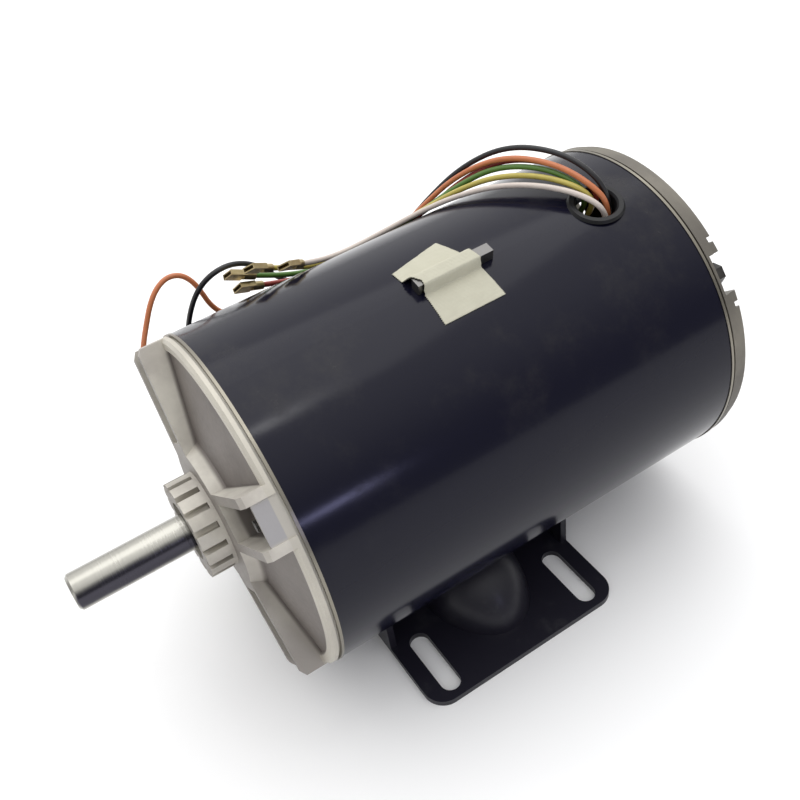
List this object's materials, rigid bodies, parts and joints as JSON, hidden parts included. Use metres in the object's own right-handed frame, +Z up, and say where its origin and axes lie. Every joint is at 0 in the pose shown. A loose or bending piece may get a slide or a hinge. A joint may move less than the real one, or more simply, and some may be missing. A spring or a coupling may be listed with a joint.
{
  "type": "door operator motor",
  "caption": "Foot-mounted electric motor for a door operator: round steel shell, cast end bells, keyed shaft, slotted pressed foot, colour-coded leads from a hole in the shell.",
  "frame": {"origin": "centre of the four foot slots, on the underside of the foot", "axes": "+Z up from the foot to the shaft, +Y along the shaft towards its free end, +X across, away from the side that the picture shows"},
  "size_m": [0.165, 0.2852, 0.1798],
  "materials": {
    "shell_paint": "gloss enamel, navy black",
    "bell_casting": "as cast, machined rim",
    "foot_paint": "satin enamel, black",
    "plated_steel": "zinc plated",
    "bright_steel": "turned and ground",
    "spring_steel": "blued",
    "pressed_steel": "pressed sheet",
    "lamination_steel": "stacked sheet edges",
    "winding_copper": "varnished enamelled wire",
    "cage_casting": "as cast",
    "grommet_rubber": "moulded",
    "terminal_brass": "tinned",
    "paper_tape": "creped paper",
    "insulation_black": "extruded insulation",
    "insulation_orange": "extruded insulation",
    "insulation_red": "extruded insulation",
    "insulation_green": "extruded insulation",
    "insulation_yellow": "extruded insulation",
    "insulation_white": "extruded insulation"
  },
  "bodies": {
    "motor": {"shell": "shell_paint", "front_bell": "bell_casting", "rear_bell": "bell_casting", "foot_base": "foot_paint", "through_bolts": "plated_steel", "through_bolt_nuts": "plated_steel", "through_bolt_washers": "plated_steel", "lead_grommet": "grommet_rubber", "stator_core": "lamination_steel", "stator_winding": "winding_copper", "wave_spring": "spring_steel", "shaft_key": "bright_steel", "key_tape": "paper_tape", "front_bearing_outer_race": "bright_steel", "front_bearing_shields": "pressed_steel", "rear_bearing_outer_race": "bright_steel", "rear_bearing_shields": "pressed_steel", "lead_black": "insulation_black", "lead_black_terminal": "terminal_brass", "lead_orange": "insulation_orange", "lead_orange_terminal": "terminal_brass", "lead_red": "insulation_red", "lead_red_terminal": "terminal_brass", "lead_green": "insulation_green", "lead_green_terminal": "terminal_brass", "lead_yellow": "insulation_yellow", "lead_yellow_terminal": "terminal_brass", "lead_white": "insulation_white", "lead_white_terminal": "terminal_brass"},
    "rotor": {"shaft": "bright_steel", "rotor_core": "lamination_steel", "rotor_cage": "cage_casting", "shaft_retaining_ring": "spring_steel", "front_bearing_inner_race": "bright_steel", "rear_bearing_inner_race": "bright_steel"},
    "front_cage": {"front_bearing_cage": "pressed_steel", "front_bearing_balls": "bright_steel"},
    "rear_cage": {"rear_bearing_cage": "pressed_steel", "rear_bearing_balls": "bright_steel"}
  },
  "joints": [
    {"name": "rotor_spin", "type": "hinge", "parent": "motor", "child": "rotor", "pos_m": [0, 0, 0.0889], "axis": [0, 1, 0], "continuous": true},
    {"name": "front_cage_spin", "type": "hinge", "parent": "motor", "child": "front_cage", "pos_m": [0, 0, 0.0889], "axis": [0, 1, 0], "continuous": true},
    {"name": "rear_cage_spin", "type": "hinge", "parent": "motor", "child": "rear_cage", "pos_m": [0, 0, 0.0889], "axis": [0, 1, 0], "continuous": true}
  ],
  "couplings": [
    {"joint": "front_cage_spin", "follows": "rotor_spin", "ratio": 0.3816},
    {"joint": "rear_cage_spin", "follows": "rotor_spin", "ratio": 0.3816}
  ]
}
